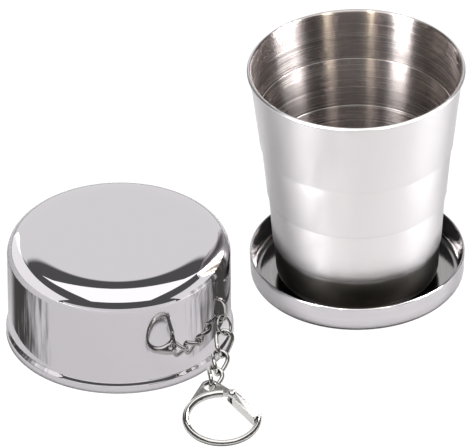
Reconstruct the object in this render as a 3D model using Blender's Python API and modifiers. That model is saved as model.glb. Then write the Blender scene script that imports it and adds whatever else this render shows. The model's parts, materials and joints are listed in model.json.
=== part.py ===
"""Collapsible travel cup with its slip-over lid, chain and snap hook.

Four tapered steel stages slide into each other and stand in a shallow dish. The lid stands beside the cup,
with a wire lug on its wall that carries a ring, three twisted chain links and a snap hook lying flat.
The origin is on the cup's axis, under the dish. +Z is up, and the lid stands towards -X and -Y.
"""

import math

import bmesh
import bpy
from mathutils import Matrix, Vector

MM = 0.001
SEGMENTS = 72                       # facets round every large turned piece

# Cup
SHEET = 0.32 * MM                   # wall of the telescoping stages
STAGE_GAP = 0.12 * MM               # radial clearance where two stages meet
RIM_RADIUS = 33.0 * MM              # over the rolled lip
RIM_HEIGHT = 74.7 * MM
LIP_BEAD = 0.65 * MM                # radius of the rolled lip's section
STAGE_FOOT = {"upper": 49.0 * MM, "middle": 31.3 * MM, "lower": 14.3 * MM}
STAGE_TOP = {"middle": 58.8 * MM, "lower": 43.2 * MM, "base": 27.3 * MM}
STAGE_TAPER = {"upper": 0.108, "middle": 0.092, "lower": 0.068, "base": 0.05}
UPPER_FOOT_RADIUS = 29.3 * MM
BASE_CORNER = 4.5 * MM              # rounded bottom of the base cup

# Dish
DISH_RADIUS = 32.6 * MM
DISH_HEIGHT = 9.0 * MM
DISH_SHEET = 0.6 * MM
DISH_CORNER = 3.0 * MM
DISH_DRAFT = 0.2 * MM               # the wall leans out by this much

# Lid
LID_PLACE = Vector((-72.1, -28.6, 0.0)) * MM
LID_RADIUS = 33.7 * MM
LID_HEIGHT = 34.0 * MM
LID_SHEET = 0.5 * MM
LID_CORNER = 5.5 * MM               # rounded shoulder
LID_EASE = 14.0 * MM                # gentler curve between the flat top and the shoulder
EASE_END = 75.0                     # degrees up from the horizontal, where the ease meets the shoulder
COLLAR_RADIUS = 34.4 * MM
COLLAR_TOP = 2.1 * MM
FLARE_TOP = 4.1 * MM

# Lug on the lid's wall, its ring and the chain
LUG_ANGLE = math.radians(-27.0)     # round the lid from +X
LUG_HEIGHT = 17.2 * MM
LUG_WIRE = 0.5 * MM                 # radius
LUG_REACH = 2.3 * MM                # from the wall to the middle of the bow
LUG_HALF_SPAN = 4.0 * MM
LUG_LEG = 0.4 * MM                  # straight part of each leg, before the bow
LUG_JOINT = 0.1 * MM                # the brazed ends stop this far off the wall
LUG_HOLD = math.radians(-51.5)      # where the ring hangs, round the bow from its middle
RING_RADIUS = 2.9 * MM              # to the middle of the wire
RING_WIRE = 0.42 * MM               # radius
RING_PULL = Vector((0.05, -0.775, -0.63)).normalized()   # from the lug to the chain
RING_SLACK = 0.15 * MM              # clearance between the ring and the lug
LINK_WIRE = 0.7 * MM                # radius
LINK_WIDTH = 6.4 * MM
LINK_TWIST = math.radians(-80.0)
LINK_ROLLS = [math.radians(a) for a in (-42.0, -50.0, -58.0)]
CHAIN_SLACK = 0.15 * MM             # clearance between two links
EYE_SLACK = 0.45 * MM               # clearance between the last link and the edge of the hook's eye
CHAIN_SAG = [math.radians(a) for a in (18.0, -4.0, -14.0)]   # each link, steeper than the chain's chord

# Snap hook, in its own plane: X to the right, Y towards the chain, origin at the eye
EYE_PLACE = Vector((-44.95, -66.5, 4.35)) * MM
HOOK_TILT = math.radians(7.8)       # the chain's last link holds the eye end up
HOOK_CENTRE = Vector((3.5, -13.5)) * MM
HOOK_RADIUS = 10.95 * MM            # to the middle of the wire
HOOK_WIRE = 0.95 * MM               # radius at the tip
HOOK_SHOULDER = 1.2 * MM            # radius where the loop leaves the plate
THINNING = 0.67                     # the wire thins over this share of the loop
HOOK_START = 88.0                   # degrees round the loop, inside the plate
HOOK_END = 374.0                    # and at the free tip
PLATE_HALF = 0.7 * MM               # half the thickness of the eye plate
EYE_HOLE = 1.9 * MM                 # radii of the eye
EYE_RIM = 2.95 * MM
PIVOT_RIM = 1.35 * MM               # radius of the plate round the gate's pivot
SPRING_POCKET = 1.5 * MM            # radius of the recess for the spring's coils
POCKET_FLOOR = 0.1 * MM             # its floor, above the plate's middle
GATE_PIVOT = Vector((6.54, -3.8)) * MM
GATE_ANGLE = math.radians(-54.6)
GATE_LENGTH = 12.9 * MM
GATE_INNER = 1.45 * MM              # from the pivot line to the web, on the side of the hook's loop
GATE_OUTER = 1.3 * MM               # from the pivot line to the flanges' free edges
GATE_SHEET = 0.4 * MM
GATE_HALF_HEIGHT = 1.6 * MM
GATE_NOSE = 0.6 * MM                # bevels at the gate's free end
GATE_HEEL = 0.4 * MM
WEB_START = 2.0 * MM                # the web is cut away up to here, to clear the plate
PIN_RADIUS = 0.55 * MM
PIN_HEAD = 1.1 * MM
PIN_HOLE = 0.65 * MM
PIN_PLAY = 0.1 * MM                 # between the gate's flanges and the pin's heads
PIN_DOME = 0.4 * MM
SPRING_WIRE = 0.15 * MM             # radius
SPRING_RADIUS = 0.9 * MM            # to the middle of the wire
SPRING_TURNS = 2
SPRING_LOW = 0.33 * MM              # the coils rise between these heights
SPRING_HIGH = 0.95 * MM
SPRING_LEG = 5.0 * MM               # reach of the leg that pushes on the gate's web

CUT = 4.0 * MM                      # cutters run past the metal by about this much


def clear_scene():
    for thing in list(bpy.data.objects):
        bpy.data.objects.remove(thing, do_unlink=True)


def collection(name):
    group = bpy.data.collections.new(name)
    bpy.context.scene.collection.children.link(group)
    return group


def steel(name, colour, roughness):
    material = bpy.data.materials.new(name)
    material.use_nodes = True
    shader = material.node_tree.nodes["Principled BSDF"]
    shader.inputs["Base Color"].default_value = (*colour, 1.0)
    shader.inputs["Metallic"].default_value = 1.0
    shader.inputs["Roughness"].default_value = roughness
    material.diffuse_color = (*colour, 1.0)
    return material


def place(thing, group, parent=None, location=(0, 0, 0), turn=None):
    """Links an object into a collection, at a place in its parent's frame."""
    group.objects.link(thing)
    thing.parent = parent
    matrix = turn.to_4x4() if turn else Matrix()
    thing.matrix_local = Matrix.Translation(location) @ matrix
    return thing


def axis_empty(name, group, parent=None, location=(0, 0, 0), turn=None):
    return place(bpy.data.objects.new(name, None), group, parent, location, turn)


def arc(centre, radius, start, end, steps):
    """Points of an arc between two angles in degrees, both ends included."""
    angles = [math.radians(start + (end - start) * i / steps) for i in range(steps + 1)]
    return [Vector((centre[0] + radius * math.cos(a), centre[1] + radius * math.sin(a))) for a in angles]


def turned(name, outline, material, closed, segments=SEGMENTS):
    """A solid of revolution about Z. The outline is (radius, height), down its outer side."""
    mesh = bpy.data.meshes.new(name)
    points = [(r, 0.0, z) for r, z in outline]
    edges = [(i, i + 1) for i in range(len(points) - 1)]
    if closed:
        edges.append((len(points) - 1, 0))
    mesh.from_pydata(points, edges, [])
    mesh.materials.append(material)
    thing = bpy.data.objects.new(name, mesh)
    screw = thing.modifiers.new("Turn", "SCREW")
    screw.steps = segments
    screw.render_steps = segments
    screw.use_merge_vertices = True
    screw.merge_threshold = 0.000001
    screw.use_smooth_shade = True
    return thing


def curve_object(name, material, dimensions="3D"):
    data = bpy.data.curves.new(name, "CURVE")
    data.dimensions = dimensions
    data.materials.append(material)
    return bpy.data.objects.new(name, data)


def add_spline(data, points, cyclic):
    spline = data.splines.new("POLY")
    spline.points.add(len(points) - 1)
    for slot, point in zip(spline.points, points):
        slot.co = (point[0], point[1], point[2] if len(point) > 2 else 0.0, 1.0)
    spline.use_cyclic_u = cyclic


def wire(name, points, radius, material, cyclic=False, resolution=2):
    thing = curve_object(name, material)
    thing.data.bevel_depth = radius
    thing.data.bevel_resolution = resolution
    thing.data.use_fill_caps = not cyclic
    add_spline(thing.data, points, cyclic)
    return thing


def flat(name, outline, half_thickness, material):
    thing = curve_object(name, material, "2D")
    thing.data.fill_mode = "BOTH"
    thing.data.extrude = half_thickness
    add_spline(thing.data, outline, True)
    return thing


def as_mesh(thing):
    """Replaces a placed curve object with a welded mesh object in the same place."""
    bpy.context.view_layer.update()
    evaluated = thing.evaluated_get(bpy.context.evaluated_depsgraph_get())
    mesh = bpy.data.meshes.new_from_object(evaluated)
    weld = bmesh.new()
    weld.from_mesh(mesh)
    bmesh.ops.remove_doubles(weld, verts=weld.verts, dist=0.000001)
    bmesh.ops.recalc_face_normals(weld, faces=weld.faces)
    weld.to_mesh(mesh)
    weld.free()
    name = thing.name
    group = thing.users_collection[0]
    parent = thing.parent
    matrix = thing.matrix_world.copy()
    bpy.data.objects.remove(thing, do_unlink=True)
    solid = bpy.data.objects.new(name, mesh)
    group.objects.link(solid)
    solid.parent = parent
    solid.matrix_world = matrix
    return solid


def cylinder_mesh(name, radius, low, high, segments=20):
    mesh = bpy.data.meshes.new(name)
    shape = bmesh.new()
    bmesh.ops.create_cone(shape, cap_ends=True, segments=segments, radius1=radius, radius2=radius,
                          depth=high - low, matrix=Matrix.Translation((0, 0, (low + high) / 2)))
    shape.to_mesh(mesh)
    shape.free()
    return bpy.data.objects.new(name, mesh)


def box_mesh(name, low, high):
    mesh = bpy.data.meshes.new(name)
    shape = bmesh.new()
    bmesh.ops.create_cube(shape, size=1.0)
    size = Vector(high) - Vector(low)
    bmesh.ops.scale(shape, vec=size, verts=shape.verts)
    bmesh.ops.translate(shape, vec=(Vector(low) + Vector(high)) / 2, verts=shape.verts)
    shape.to_mesh(mesh)
    shape.free()
    return bpy.data.objects.new(name, mesh)


def boolean(target, tool, operation):
    tool.hide_render = True
    tool.display_type = "WIRE"
    step = target.modifiers.new(operation.title(), "BOOLEAN")
    step.operation = operation
    step.solver = "EXACT"
    step.object = tool


def shade(thing):
    thing.data.shade_smooth()
    thing.data.set_sharp_from_angle(angle=math.radians(40))


# The cup's stages -----------------------------------------------------------------------------------------

def stage_radii():
    """Each stage's outer radius and the height it holds at, worked down from the upper ring's foot."""
    radius, height = UPPER_FOOT_RADIUS, STAGE_FOOT["upper"]
    known = {"upper": (radius, height)}
    for above, stage in (("upper", "middle"), ("middle", "lower"), ("lower", "base")):
        foot = STAGE_FOOT[above]
        at_foot = known[above][0] + (foot - known[above][1]) * STAGE_TAPER[above]
        known[stage] = (at_foot - SHEET - STAGE_GAP, foot)
    return known


def outer_radius(stage, height):
    radius, known_height = stage_radii()[stage]
    return radius + (height - known_height) * STAGE_TAPER[stage]


def ring_outline(stage):
    """A plain tapered ring with softened edges."""
    low, high = STAGE_FOOT[stage], STAGE_TOP[stage]
    soft = SHEET / 2
    outer = [(outer_radius(stage, z), z) for z in (high - soft, (low + high) / 2, low + soft)]
    inner = [(outer_radius(stage, z) - SHEET, z) for z in (low + soft, (low + high) / 2, high - soft)]
    foot = (outer_radius(stage, low) - soft, low)
    top = (outer_radius(stage, high) - soft, high)
    return [*outer, foot, *inner, top]


def upper_outline():
    """The top ring, whose sheet is rolled outwards into a bead."""
    foot = STAGE_FOOT["upper"]
    soft = SHEET / 2
    bead = (RIM_RADIUS - LIP_BEAD, RIM_HEIGHT - LIP_BEAD)
    neck = bead[1] - 0.75 * LIP_BEAD
    middle = (foot + neck) / 2
    outer = [(outer_radius("upper", z), z) for z in (middle, foot + soft)]
    inner = [(outer_radius("upper", z) - SHEET, z) for z in (foot + soft, middle)]
    return [*arc(bead, LIP_BEAD, 90, -110, 8), *outer, (outer_radius("upper", foot) - soft, foot), *inner,
            (bead[0] - LIP_BEAD, bead[1]), *arc(bead, LIP_BEAD, 155, 122, 1)]


def base_cup_outline():
    """The lowest stage with its closed bottom, from the floor's middle up inside and down outside."""
    top = STAGE_TOP["base"]
    bottom = DISH_SHEET + STAGE_GAP
    soft = SHEET / 2
    bend = bottom + BASE_CORNER
    wall = outer_radius("base", bend)
    centre = (wall - BASE_CORNER, bend)
    inside = arc(centre, BASE_CORNER - SHEET, -90, 0, 4)
    outside = arc(centre, BASE_CORNER, 0, -90, 4)
    return [(0.0, bottom + SHEET), *inside, (outer_radius("base", top - soft) - SHEET, top - soft),
            (outer_radius("base", top) - soft, top), (outer_radius("base", top - soft), top - soft),
            *outside, (0.0, bottom)]


def dish_outline():
    corner = DISH_RADIUS - DISH_DRAFT - DISH_CORNER
    centre = (corner, DISH_CORNER)
    lip = DISH_SHEET / 2
    rim = (DISH_RADIUS - lip, DISH_HEIGHT - lip)
    return [(0.0, DISH_SHEET), *arc(centre, DISH_CORNER - DISH_SHEET, -90, 0, 3), *arc(rim, lip, 180, 0, 4),
            *arc(centre, DISH_CORNER, 0, -90, 4), (0.0, 0.0)]


def lid_outline():
    """The lid's outer side from the middle of its top down to the collar, then back up inside."""
    lean = math.radians(EASE_END)
    extra = LID_EASE - LID_CORNER
    corner = (LID_RADIUS - LID_CORNER, LID_HEIGHT - LID_EASE + extra * math.sin(lean))
    ease = (corner[0] - extra * math.cos(lean), LID_HEIGHT - LID_EASE)

    def shoulder(offset, steps):
        eased = arc(ease, LID_EASE - offset, 90, EASE_END, 2)
        return [*eased, *arc(corner, LID_CORNER - offset, EASE_END, 0, steps)[1:]]

    def flare(offset, steps):
        points = []
        for i in range(steps + 1):
            share = i / steps
            swing = (1 - math.cos(math.pi * share)) / 2
            radius = LID_RADIUS + (COLLAR_RADIUS - LID_RADIUS) * swing - offset
            points.append((radius, FLARE_TOP + (COLLAR_TOP - FLARE_TOP) * share))
        return points

    edge = LID_SHEET / 2
    rounded_foot = [(COLLAR_RADIUS, edge), (COLLAR_RADIUS - edge, 0.0), (COLLAR_RADIUS - LID_SHEET, edge)]
    outside = [(0.0, LID_HEIGHT), *shoulder(0.0, 6), *flare(0.0, 4)]
    inside = [*reversed(flare(LID_SHEET, 4)), *reversed(shoulder(LID_SHEET, 4))]
    return [*outside, *rounded_foot, *inside, (0.0, LID_HEIGHT - LID_SHEET)]


def build_cup(group, satin, polished):
    place(turned("base_dish", dish_outline(), polished, False), group)
    place(turned("base_cup", base_cup_outline(), satin, False), group)
    place(turned("lower_ring", ring_outline("lower"), satin, True), group)
    place(turned("middle_ring", ring_outline("middle"), satin, True), group)
    place(turned("upper_ring", upper_outline(), satin, True), group)


# The chain ------------------------------------------------------------------------------------------------

def basis(forward, side):
    """A rotation whose X is forward and whose Y is the part of side that is square to it."""
    x = forward.normalized()
    y = (side - side.dot(x) * x).normalized()
    return Matrix((x, y, x.cross(y))).transposed()


def bow_point(angle):
    """A point of the lug's bow, in the frame of the wall: X out, Z up."""
    return (LUG_LEG + math.cos(angle) * (LUG_REACH - LUG_LEG), 0.0, math.sin(angle) * LUG_HALF_SPAN)


def lug_points():
    """A bail that leaves the wall, arches out and comes back, in the frame of the wall."""
    arch = [bow_point(math.radians(angle)) for angle in range(80, -81, -16)]
    top, bottom = arch[0][2], arch[-1][2]
    return [(LUG_JOINT, 0.0, top), *arch, (LUG_JOINT, 0.0, bottom)]


def link_points(length, width, twist):
    """The middle line of a long link along X, twisted evenly from end to end about its own length."""
    half_width = width / 2 - LINK_WIRE
    straight = length / 2 - LINK_WIRE - half_width
    right = [Vector((straight + p[0], p[1])) for p in arc((0, 0), half_width, -90, 90, 8)]
    left = [Vector((-straight + p[0], p[1])) for p in arc((0, 0), half_width, 90, 270, 8)]
    sides = [Vector((0.0, half_width)), Vector((0.0, -half_width))]
    flat_line = [*right, sides[0], *left, sides[1]]
    reach = straight + half_width
    points = []
    for x, y in flat_line:
        angle = twist * x / reach / 2
        points.append((x + reach, y * math.cos(angle), y * math.sin(angle)))
    return points


def chain_layout():
    """Places of the ring's top and of each link's first wire, the links' directions and their length."""
    out = Vector((math.cos(LUG_ANGLE), math.sin(LUG_ANGLE), 0.0))
    hold = bow_point(LUG_HOLD)
    held = LID_PLACE + out * (LID_RADIUS + hold[0]) + Vector((0, 0, LUG_HEIGHT + hold[2]))
    ring_top = held - RING_PULL * (RING_WIRE + LUG_WIRE + RING_SLACK)
    ring_foot = ring_top + RING_PULL * 2 * RING_RADIUS
    back = (ring_foot - EYE_PLACE) * Vector((1, 1, 0))
    last = EYE_PLACE + back.normalized() * (EYE_HOLE - LINK_WIRE - EYE_SLACK)
    chord = (last - ring_foot).normalized()
    for _ in range(4):
        level = Vector((0, 0, 1)).cross(chord)
        directions = [Matrix.Rotation(sag, 3, level) @ chord for sag in CHAIN_SAG]
        first = ring_foot - directions[0] * (RING_WIRE + LINK_WIRE + CHAIN_SLACK)
        chord = (last - first).normalized()

    crossing = 2 * LINK_WIRE + CHAIN_SLACK
    overlaps = [(a + b).normalized() * crossing for a, b in zip(directions, directions[1:])]
    reach = last - first + sum(overlaps, Vector())
    middle_length = reach.dot(chord) / sum(d.dot(chord) for d in directions)
    starts = [first]
    for direction, overlap in zip(directions, overlaps):
        starts.append(starts[-1] + direction * middle_length - overlap)
    return ring_top, out, directions, starts, middle_length + 2 * LINK_WIRE


def build_chain(group, lid_axis, nickel):
    ring_top, out, directions, starts, link_length = chain_layout()
    wall = axis_empty("lug_place", group, lid_axis, out * LID_RADIUS + Vector((0, 0, LUG_HEIGHT)),
                      Matrix.Rotation(LUG_ANGLE, 3, "Z"))
    place(wire("lid_lug", lug_points(), LUG_WIRE, nickel), group, wall)

    along_wall = Vector((0, 0, 1)).cross(out)
    ring_turn = basis(RING_PULL, RING_PULL.cross(along_wall))
    ring_axis = axis_empty("ring_axis", group, lid_axis, ring_top - LID_PLACE, ring_turn)
    circle = [(p[0], 0.0, p[1]) for p in arc((0, 0), RING_RADIUS, 0, 345, 23)]
    place(wire("lug_ring", circle, RING_WIRE, nickel, cyclic=True), group, ring_axis, (RING_RADIUS, 0, 0))

    outline = link_points(link_length, LINK_WIDTH, LINK_TWIST)
    for number, (start, direction, roll) in enumerate(zip(starts, directions, LINK_ROLLS), 1):
        level = Vector((0, 0, 1)).cross(direction)
        turn = basis(direction, level) @ Matrix.Rotation(roll, 3, "X")
        link = wire(f"chain_link_{number}", outline, LINK_WIRE, nickel, cyclic=True)
        place(link, group, lid_axis, start - LID_PLACE, turn)


# The snap hook --------------------------------------------------------------------------------------------

def plate_outline():
    """The flat plate: round the eye, along to the gate's pivot, and back along the loop to its left side."""
    eye = arc((0, 0), EYE_RIM, 155, 55, 8)
    tongue = arc(GATE_PIVOT, PIVOT_RIM, 55, -75, 6)
    merge = HOOK_WIRE * 0.8
    inner = arc(HOOK_CENTRE, HOOK_RADIUS - merge, 73, 172, 11)
    outer = arc(HOOK_CENTRE, HOOK_RADIUS + merge, 172, 158, 2)
    return [*eye, *tongue, *inner, *outer]


def build_hook_frame(group, cutters, hook_axis, nickel):
    plate = as_mesh(place(flat("hook_frame", plate_outline(), PLATE_HALF, nickel), group, hook_axis))
    line = arc(HOOK_CENTRE, HOOK_RADIUS, HOOK_START, HOOK_END, 30)
    bend = [(p[0], p[1], 0.0) for p in line]
    loop = wire("hook_loop", bend, HOOK_WIRE, nickel, resolution=3)
    for i, point in enumerate(loop.data.splines[0].points):
        thinned = min(1.0, i / len(bend) / THINNING)
        point.radius = (HOOK_SHOULDER + (HOOK_WIRE - HOOK_SHOULDER) * thinned) / HOOK_WIRE
    boolean(plate, as_mesh(place(loop, cutters, hook_axis)), "UNION")
    eye = place(cylinder_mesh("eye_cutter", EYE_HOLE, -CUT, CUT), cutters, hook_axis)
    boolean(plate, eye, "DIFFERENCE")
    pivot = (*GATE_PIVOT, 0.0)
    bore = place(cylinder_mesh("pin_cutter", PIN_HOLE, -CUT, CUT), cutters, hook_axis, pivot)
    boolean(plate, bore, "DIFFERENCE")
    pocket = cylinder_mesh("spring_cutter", SPRING_POCKET, POCKET_FLOOR, CUT)
    recess = place(pocket, cutters, hook_axis, pivot)
    boolean(plate, recess, "DIFFERENCE")
    shade(plate)


def build_gate(group, cutters, hook_axis, nickel):
    """A folded channel, open to the outside, that straddles the plate and the hook's tip."""
    turn = Matrix.Rotation(GATE_ANGLE, 3, "Z")
    pivot = (*GATE_PIVOT, 0.0)
    end = GATE_LENGTH
    round_end = arc((0, 0), GATE_INNER, 270, 116, 8)
    outline = [*round_end, (end - GATE_NOSE, GATE_OUTER), (end, GATE_OUTER - GATE_NOSE),
               (end, GATE_HEEL - GATE_INNER), (end - GATE_HEEL, -GATE_INNER)]
    block = flat("hook_gate", outline, GATE_HALF_HEIGHT, nickel)
    gate = as_mesh(place(block, group, hook_axis, pivot, turn))
    inside = GATE_HALF_HEIGHT - GATE_SHEET
    web = GATE_SHEET - GATE_INNER
    slot = box_mesh("gate_slot_cutter", (-CUT, web, -inside), (end + CUT, CUT, inside))
    mouth = box_mesh("gate_mouth_cutter", (-CUT, -CUT, -inside), (WEB_START, CUT, inside))
    bore = cylinder_mesh("gate_bore_cutter", PIN_HOLE, -CUT, CUT)
    for tool in (slot, mouth, bore):
        boolean(gate, place(tool, cutters, hook_axis, pivot, turn), "DIFFERENCE")
    shade(gate)


def pin_outline():
    """A rivet with a low dome at each end."""
    head_base = GATE_HALF_HEIGHT + PIN_PLAY
    dome = head_base + PIN_DOME
    shoulder = (PIN_HEAD * 0.7, head_base + PIN_DOME * 0.75)
    upper = [(0.0, dome), shoulder, (PIN_HEAD, head_base), (PIN_RADIUS, head_base)]
    lower = [(r, -z) for r, z in reversed(upper)]
    return [*upper, *lower]


def spring_points():
    """Two coils round the pin, then a leg along the gate's web."""
    steps = 14 * SPRING_TURNS
    turns = arc((0, 0), SPRING_RADIUS, 180, 180 + 360 * SPRING_TURNS, steps)
    coil = [(x, y, SPRING_LOW + (SPRING_HIGH - SPRING_LOW) * i / steps) for i, (x, y) in enumerate(turns)]
    quarter = [(x, y, SPRING_HIGH) for x, y in arc((0, 0), SPRING_RADIUS, 195, 265, 3)]
    leg = [(SPRING_LEG * 0.32, -SPRING_RADIUS, SPRING_HIGH),
           (SPRING_LEG, -SPRING_RADIUS * 0.9, SPRING_HIGH * 0.6)]
    return [*coil, *quarter, *leg]


def build_hook(group, cutters, lid_axis, nickel):
    hook_axis = axis_empty("hook_axis", group, lid_axis, EYE_PLACE - LID_PLACE,
                           Matrix.Rotation(HOOK_TILT, 3, "X"))
    build_hook_frame(group, cutters, hook_axis, nickel)
    build_gate(group, cutters, hook_axis, nickel)
    pivot = (*GATE_PIVOT, 0.0)
    place(turned("gate_pin", pin_outline(), nickel, False, segments=16), group, hook_axis, pivot)
    turn = Matrix.Rotation(GATE_ANGLE, 3, "Z")
    place(wire("gate_spring", spring_points(), SPRING_WIRE, nickel), group, hook_axis, pivot, turn)


def main():
    clear_scene()
    parts = collection("collapsible_travel_cup")
    cutters = collection("cutters")
    satin = steel("satin_steel", (0.78, 0.76, 0.77), 0.28)
    dish_steel = steel("dish_steel", (0.70, 0.69, 0.70), 0.16)
    mirror = steel("mirror_steel", (0.80, 0.78, 0.80), 0.06)
    nickel = steel("nickel", (0.72, 0.70, 0.68), 0.12)

    build_cup(parts, satin, dish_steel)
    lid_axis = axis_empty("lid_axis", parts, None, LID_PLACE)
    place(turned("lid_shell", lid_outline(), mirror, False), parts, lid_axis)
    build_chain(parts, lid_axis, nickel)
    build_hook(parts, cutters, lid_axis, nickel)


main()
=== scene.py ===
"""Looks for the collapsible travel cup.

Fine meshes take the place of every CAD piece, in brushed, mirror-bright and nickel-plated steel, on white
paper in a studio.
"""

import json
import math

import bmesh
import bpy
from mathutils import Matrix, Vector


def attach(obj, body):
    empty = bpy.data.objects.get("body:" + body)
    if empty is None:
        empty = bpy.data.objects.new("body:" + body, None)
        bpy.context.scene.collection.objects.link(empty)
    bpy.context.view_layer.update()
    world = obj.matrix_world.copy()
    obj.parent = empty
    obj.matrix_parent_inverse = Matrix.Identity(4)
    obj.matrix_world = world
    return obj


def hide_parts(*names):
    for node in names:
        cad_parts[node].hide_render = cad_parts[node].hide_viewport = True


MM = 0.001

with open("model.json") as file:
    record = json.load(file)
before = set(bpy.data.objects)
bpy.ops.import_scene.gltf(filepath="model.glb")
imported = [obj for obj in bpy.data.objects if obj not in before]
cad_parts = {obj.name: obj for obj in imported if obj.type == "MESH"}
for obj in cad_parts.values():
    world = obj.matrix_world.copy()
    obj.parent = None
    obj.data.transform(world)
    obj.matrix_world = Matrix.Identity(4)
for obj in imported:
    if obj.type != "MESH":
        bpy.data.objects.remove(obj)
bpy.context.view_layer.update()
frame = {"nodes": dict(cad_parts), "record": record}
fine_pieces = []                    # every finished piece with the name of its CAD node
CUP_NODES = ("base_dish", "base_cup", "lower_ring", "middle_ring", "upper_ring")

# Camera: nearly parallel rays, looking down over the front of the cup
CAMERA_ELEVATION = math.radians(34.21)
CAMERA_ROLL = math.radians(0.6)
CAMERA_DISTANCE = 5.0
CAMERA_AIM = Vector((-37.14, 8.62, 12.68)) * MM
CAMERA_LENS = 1263.5

# Studio
WHITE = 1.0
ROOM = 0.11
BACKDROP_TOP = 40.0                 # degrees up, where the white backdrop ends
BACKDROP_TOP_BLUR = 1.5
BACKDROP_SIDE = 0.46                # half-width of the backdrop, as a share of the distance
BACKDROP_SIDE_BLUR = 0.06
PAPER_HALF = 4.0
PAPER_WHITE = 0.28                  # how white the paper is in the metal's reflections
PAPER_SHADE_REACH = 1.5 * MM               # reach of the painted shade on the paper where metal meets it
PAPER_SHADE_LIMITS = (0.45, 0.95)    # openness of the darkest painted shade and of the clean paper
PAPER_SHADE_WHITE = 0.12 * PAPER_WHITE
PAPER_GLOW = 0.97                   # how bright the camera sees the paper
PAPER_VEIL = 0.04                   # its share of real light, which shadows take off
# Softboxes and cards: name, azimuth from the front towards the right, elevation, distance, width, height,
# radiance, and the group of pieces that each lights
SOFTBOXES = [
    ("cup_softbox", 0.0, 69.0, 1.05, 1.5, 2.2, 1.75, "cup"),
    ("lid_softbox", 0.0, 88.5, 1.05, 1.05, 1.45, 1.5, "lid_and_hook"),
    ("front_card", 0.0, 6.0, 1.6, 4.5, 0.5, 0.85, "lid"),
    ("left_card", -105.0, 20.0, 1.6, 3.4, 1.25, 1.15, "lid"),
    ("right_card", 105.0, 20.0, 1.6, 3.4, 1.25, 1.0, "lid"),
]
# Strip lights for the cup: azimuth, width and height in degrees, radiance, warmth, and whether each also
# lights the floor
STRIPS = [
    (-50.0, 17.0, 38.0, 56.0, 0.0, True),
    (80.0, 24.0, 38.0, 50.0, 0.0, True),
    (31.0, 3.0, 38.0, 26.0, 0.35, False),
    (-15.0, 3.0, 38.0, 26.0, 0.35, False),
]
STRIP_DISTANCE = 1.6
STRIP_ELEVATION = 22.0
# Dark cards of painted shade beside the lid, which only its reflections show: azimuths of the far end and of
# the faded end, distance from the lid's axis, and height
SHADE_FLAGS = [
    (-104.0, -42.0, 40.0 * MM, 23.0 * MM),
    (112.0, 44.0, 43.0 * MM, 34.0 * MM),
]
FLAG_STEPS = 24
# the cards' faint painted glow and its tint: they are no lamps
FLAG_GLOW = 0.08
FLAG_TINT = (1.0, 0.95, 0.9, 1.0)
FLAG_START = (0.1, 0.33)            # shares of the card's length over which it comes in
FLAG_FADE = (0.45, 1.0)             # and over which it fades out, before the streaks are added
STREAK_SCALE = (420.0, 420.0, 60.0)
STREAK_DEPTH = 1.1

# Meshes
SAME_POINT = 0.0005 * MM
SAME_CAD_POINT = 0.002 * MM
FLAT_SEAM = math.radians(1.0)
HARD_CORNER = math.radians(40.0)
SEGMENTS = 256
ARC_STEP = 4.0                      # degrees between two points of an outline's arcs

# Cup, dish and lid
SHEET = 0.32 * MM
STAGE_GAP = 0.12 * MM
RIM_RADIUS = 33.0 * MM
RIM_HEIGHT = 74.7 * MM
LIP_BEAD = 0.65 * MM
STAGE_FOOT = {"upper": 49.0 * MM, "middle": 31.3 * MM, "lower": 14.3 * MM}
STAGE_TOP = {"middle": 58.8 * MM, "lower": 43.2 * MM, "base": 27.3 * MM}
STAGE_TAPER = {"upper": 0.108, "middle": 0.092, "lower": 0.068, "base": 0.05}
UPPER_FOOT_RADIUS = 29.3 * MM
BASE_CORNER = 4.5 * MM
DISH_RADIUS = 32.6 * MM
DISH_HEIGHT = 9.0 * MM
DISH_SHEET = 0.6 * MM
DISH_CORNER = 3.0 * MM
DISH_DRAFT = 0.2 * MM
LID_PLACE = Vector((-72.1, -28.6, 0.0)) * MM
LID_RADIUS = 33.7 * MM
LID_HEIGHT = 34.0 * MM
LID_SHEET = 0.5 * MM
LID_CORNER = 5.5 * MM
LID_EASE = 28.0 * MM                # broader than the CAD lid's ease, and at most 0.4 mm below it
EASE_END = 76.0                     # degrees, where the ease meets the tighter corner
EASE_STEPS = 8
CORNER_STEPS = 30
FLARE_STEPS = 16
COLLAR_RADIUS = 34.4 * MM
COLLAR_TOP = 2.1 * MM
FLARE_TOP = 4.1 * MM

# Chain
LUG_ANGLE = math.radians(-27.0)
LUG_HEIGHT = 17.2 * MM
LUG_WIRE = 0.5 * MM
LUG_REACH = 2.3 * MM
LUG_HALF_SPAN = 4.0 * MM
LUG_LEG = 0.4 * MM
LUG_ROOT = -0.2 * MM                # the ends run a little into the wall, as welded ones do
LUG_HOLD = math.radians(-51.5)
RING_RADIUS = 2.9 * MM
RING_WIRE = 0.42 * MM
RING_PULL = Vector((0.05, -0.775, -0.63)).normalized()
RING_SLACK = 0.15 * MM
LINK_WIRE = 0.7 * MM
LINK_WIDTH = 6.4 * MM
LINK_TWIST = math.radians(-80.0)
LINK_ROLLS = [math.radians(a) for a in (-42.0, -50.0, -58.0)]
CHAIN_SLACK = 0.15 * MM
EYE_SLACK = 0.45 * MM
CHAIN_SAG = [math.radians(a) for a in (18.0, -4.0, -14.0)]

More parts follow.
